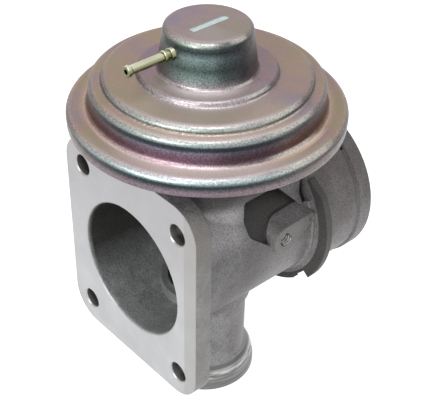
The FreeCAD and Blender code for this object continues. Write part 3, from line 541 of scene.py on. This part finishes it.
def bracket_thread():
    """The M6 thread of the bracket hole, as a ridge that winds up a plain bore."""
    pitch, turns, steps = 1.0, 4, 40
    root, crest, start = 2.49, 2.1, BOSS_FACE - 4.2
    points, faces = [], []
    for i in range(turns * steps + 1):
        angle = 2 * math.pi * i / steps
        for radius, shift in ((root, -0.42), (crest, -0.08), (crest, 0.08), (root, 0.42)):
            along = start + pitch * (i / steps + shift)
            place = (along, BOSS_HOLE_Y + radius * math.cos(angle), BOSS_HOLE_Z + radius * math.sin(angle))
            points.append([value * MM for value in place])
    for i in range(turns * steps):
        for j in range(3):
            first = 4 * i + j
            faces.append((first, first + 1, first + 5, first + 4))
    thread = linked("bracket_thread", points, faces)
    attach(thread, "housing")
    return thread


def rolling_diaphragm(count=24):
    """The diaphragm in sectors, each cut out as its own mesh by its angle round the stem."""
    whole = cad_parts["diaphragm"]
    points = [whole.matrix_world @ vertex.co for vertex in whole.data.vertices]
    faces = [[] for _ in range(count)]
    for polygon in whole.data.polygons:
        middle = whole.matrix_world @ polygon.center
        turn = math.atan2(middle.y - STEM_Y, middle.x) / (2 * math.pi) % 1
        faces[int(turn * count) % count].append(polygon.vertices)
    sectors = []
    for index, own in enumerate(faces):
        used = sorted({point for face in own for point in face})
        place = {old: new for new, old in enumerate(used)}
        sector = linked(f"diaphragm_{index}", [points[point] for point in used],
                        [[place[point] for point in face] for face in own])
        turn = 2 * math.pi * (index + 0.5) / count
        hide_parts("diaphragm")
        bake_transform(sector)
        sectors.append(sector)
    return sectors


def dress(obj, material, smooth_angle=35):
    """Gives an object one material and smooth shading that keeps its sharp edges."""
    obj.data.materials.clear()
    obj.data.materials.append(material)
    for polygon in obj.data.polygons:
        polygon.use_smooth = True
        polygon.material_index = 0
    if "custom_normal" in obj.data.attributes:
        obj.data.attributes.remove(obj.data.attributes["custom_normal"])
    obj.data.set_sharp_from_angle(angle=math.radians(smooth_angle))


def seen_directly(tree):
    """1 for camera, glossy and transmission rays, 0 for the rays that light diffuse surfaces."""
    path = tree.nodes.new("ShaderNodeLightPath")
    total = path.outputs["Is Camera Ray"]
    for name in ("Is Glossy Ray", "Is Transmission Ray"):
        most = tree.nodes.new("ShaderNodeMath")
        most.operation = "MAXIMUM"
        tree.links.new(total, most.inputs[0])
        tree.links.new(path.outputs[name], most.inputs[1])
        total = most.outputs["Value"]
    return total


def make_world():
    """White where it is seen or mirrored; a dim soft sky for diffuse light."""
    world = bpy.data.worlds.new("studio")
    bpy.context.scene.world = world
    world.use_nodes = True
    tree = world.node_tree
    background = tree.nodes["Background"]
    mix = tree.nodes.new("ShaderNodeMix")
    mix.data_type = "RGBA"
    tree.links.new(seen_directly(tree), mix.inputs["Factor"])
    mix.inputs["A"].default_value = (SKY, SKY, SKY, 1)
    mix.inputs["B"].default_value = (1, 1, 1, 1)
    tree.links.new(mix.outputs["Result"], background.inputs["Color"])
    background.inputs["Strength"].default_value = 1.0


def make_floor():
    """Plain white floor under the neck: a steady glow where it is seen, with the shadow left in it."""
    half, height = 3.0, cad_box[0].z - 0.2 * MM
    corners = [(-half, -half, height), (half, -half, height), (half, half, height), (-half, half, height)]
    floor = linked("floor", corners, [(0, 1, 2, 3)])
    material = bpy.data.materials.new("floor")
    material.use_nodes = True
    tree = material.node_tree
    shader = tree.nodes["Principled BSDF"]
    shader.inputs["Base Color"].default_value = (0.8, 0.8, 0.8, 1)
    shader.inputs["Roughness"].default_value = 0.9
    glow = tree.nodes.new("ShaderNodeMath")
    glow.operation = "MULTIPLY"
    tree.links.new(seen_directly(tree), glow.inputs[0])
    glow.inputs[1].default_value = FLOOR_GLOW
    shader.inputs["Emission Color"].default_value = (1, 1, 1, 1)
    tree.links.new(glow.outputs["Value"], shader.inputs["Emission Strength"])
    floor.data.materials.append(material)


def softbox(name, azimuth, elevation, distance, size, power):
    """A square area light in that direction from the middle of the object, and facing it."""
    turn, lift = math.radians(azimuth), math.radians(elevation)
    toward = Vector((math.cos(turn) * math.cos(lift), math.sin(turn) * math.cos(lift), math.sin(lift)))
    data = bpy.data.lights.new(name, "AREA")
    data.shape = "SQUARE"
    data.size = size
    data.energy = power
    lamp = bpy.data.objects.new(name, data)
    lamp.location = Vector((0, STEM_Y, 20 * MM)) + toward * distance
    lamp.rotation_mode = "QUATERNION"
    lamp.rotation_quaternion = (-toward).to_track_quat("-Z", "Y")
    bpy.context.scene.collection.objects.link(lamp)


bpy.context.scene.view_settings.view_transform = "Standard"
make_camera()
make_world()
make_floor()
softbox("key", -77, 24, 1.0, 0.5, KEY_POWER)
softbox("top", -42, 76, 0.9, 0.45, TOP_POWER)
softbox("side", 8, 12, 1.0, 0.6, SIDE_POWER)

steel = plain_metal("turned_steel", (0.50, 0.49, 0.47), 0.3)
zinc = plain_metal("clear_zinc", (0.55, 0.55, 0.54), 0.35)
passivated = passivated_steel()
looks = {
    "valve_body": cast_aluminium(),
    "seat_ring": steel,
    "valve_disc": steel,
    "valve_stem": steel,
    "stem_guide": plain_metal("bronze", (0.55, 0.38, 0.19), 0.35),
    "stem_seal": soft_black("seal_compound", (0.06, 0.06, 0.06), 0.6, 800),
    "seal_retainer": steel,
    "soot_shield": steel,
    "actuator_gasket": soft_black("gasket_fibre", (0.20, 0.19, 0.18), 0.85, 1500),
    "lower_shell": passivated,
    "upper_shell": passivated,
    "vacuum_nipple": plated_tube(),
    "actuator_screws": plain_metal("phosphated_steel", (0.20, 0.20, 0.21), 0.45),
    "screw_washers": zinc,
    "diaphragm": soft_black("diaphragm_rubber", (0.03, 0.03, 0.03), 0.7, 900),
    "lower_plate": zinc,
    "upper_plate": zinc,
    "stem_washer": zinc,
    "return_spring": plain_metal("spring_wire", (0.45, 0.45, 0.44), 0.28),
    "spring_cup": zinc,
}
for node, material in looks.items():
    dress(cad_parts[node], material)
dress(bracket_thread(), plain_metal("cut_thread", srgb(150, 150, 146), 0.22))
for sector in rolling_diaphragm():
    dress(sector, looks["diaphragm"])
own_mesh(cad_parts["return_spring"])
